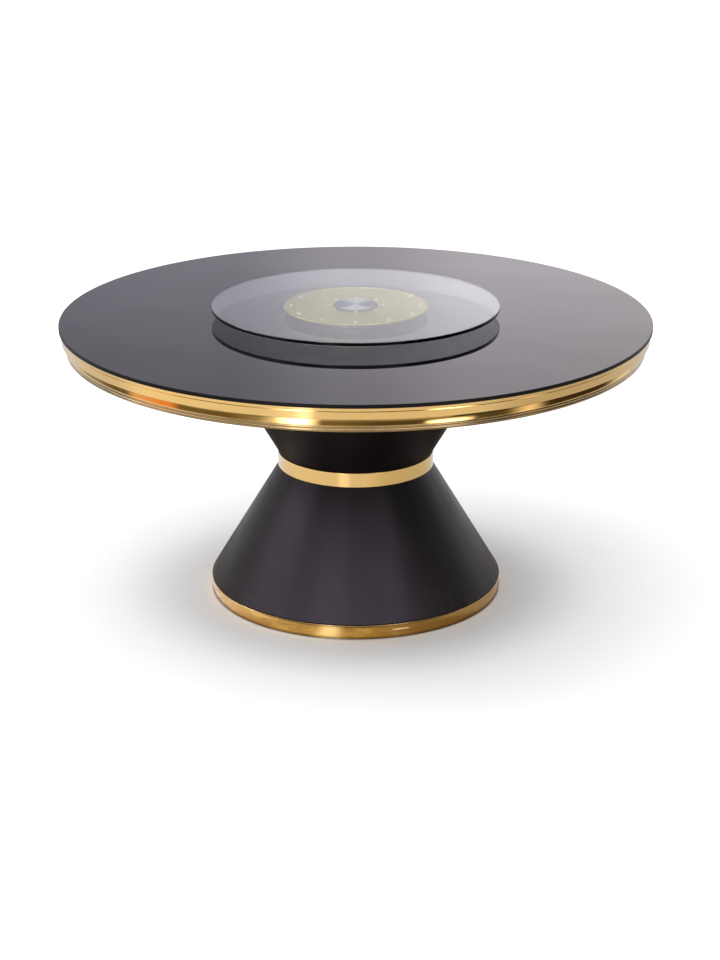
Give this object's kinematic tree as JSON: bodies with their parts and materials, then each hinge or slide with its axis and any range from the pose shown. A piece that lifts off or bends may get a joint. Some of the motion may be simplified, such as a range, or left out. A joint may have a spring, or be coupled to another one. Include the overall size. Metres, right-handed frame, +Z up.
{
  "type": "banquet table",
  "caption": "Round banquet table: black glass top with a gilt rim, hourglass pedestal with gilt waist and base bands, and a loose clear-glass turntable running on balls.",
  "frame": {"origin": "on the floor, at the table's vertical axis", "axes": "+Z up along the axis of the table and its turntable; -Y towards the viewer of the picture; the outline is round, so X and Y look the same"},
  "size_m": [1.6, 1.5999, 0.815],
  "materials": {
    "black_glass": "back-painted black tempered glass, polished",
    "clear_glass": "clear tempered glass, polished",
    "gilt": "polished stainless steel with a gold-coloured coating",
    "gilt_spun": "spun aluminium, gold anodised, with turning marks",
    "bright_spun": "spun aluminium with turning marks",
    "race_aluminium": "turned, matte",
    "charcoal_paint": "charcoal stove enamel, satin",
    "steel": "black primer, matte",
    "zinc": "zinc plated",
    "ball_steel": "ground and polished steel",
    "nylon": "natural nylon, matte",
    "rubber": "black rubber, matte",
    "clear_rubber": "clear soft plastic, glossy",
    "plywood": "raw plywood",
    "board_black": "plywood with a matte black laminate"
  },
  "bodies": {
    "table": {"foot_pads": "rubber", "base_plate": "steel", "base_core": "plywood", "base_ring": "gilt", "lower_cone": "charcoal_paint", "cone_foot_screws": "zinc", "base_studs": "zinc", "column_foot": "steel", "base_washers": "zinc", "base_nuts": "zinc", "column_tube": "steel", "foot_gussets": "steel", "head_gussets": "steel", "column_head": "steel", "mounting_plate": "steel", "head_bolts": "zinc", "head_washers": "zinc", "drum_washers": "zinc", "drum_nuts": "zinc", "waist_core": "plywood", "waist_band": "gilt", "waist_low_screws": "zinc", "waist_high_screws": "zinc", "upper_cone": "charcoal_paint", "cone_head_screws": "zinc", "underside_board": "board_black", "plate_screws": "zinc", "rim_screws": "zinc", "hub_block": "plywood", "drum_ribs": "plywood", "edge_ring": "plywood", "bearer_board": "plywood", "rim_trim": "gilt", "glass_cushions": "clear_rubber", "glass_cushions_inner": "clear_rubber", "top_glass": "black_glass"},
    "turntable_base": {"race_feet": "rubber", "fixed_race": "race_aluminium"},
    "ball_train": {"balls": "ball_steel", "ball_cage": "nylon"},
    "turntable": {"turning_race": "race_aluminium", "carrier_plate": "gilt_spun", "carrier_screws": "zinc", "clear_buttons": "clear_rubber", "clear_bumpers": "clear_rubber"},
    "glass_disc": {"turntable_glass": "clear_glass", "centre_disc": "bright_spun"}
  },
  "joints": [
    {"name": "turntable_lift", "type": "slide", "parent": "table", "child": "turntable_base", "axis": [0, 0, 1], "range_m": [0, 0.12]},
    {"name": "turntable_spin", "type": "hinge", "parent": "turntable_base", "child": "turntable", "pos_m": [0, 0, 0.78825], "axis": [0, 0, 1], "continuous": true},
    {"name": "ball_orbit", "type": "hinge", "parent": "turntable_base", "child": "ball_train", "pos_m": [0, 0, 0.78825], "axis": [0, 0, 1], "continuous": true},
    {"name": "disc_lift", "type": "slide", "parent": "turntable", "child": "glass_disc", "axis": [0, 0, 1], "range_m": [0, 0.06]}
  ],
  "couplings": [
    {"joint": "ball_orbit", "follows": "turntable_spin", "ratio": 0.4875}
  ]
}
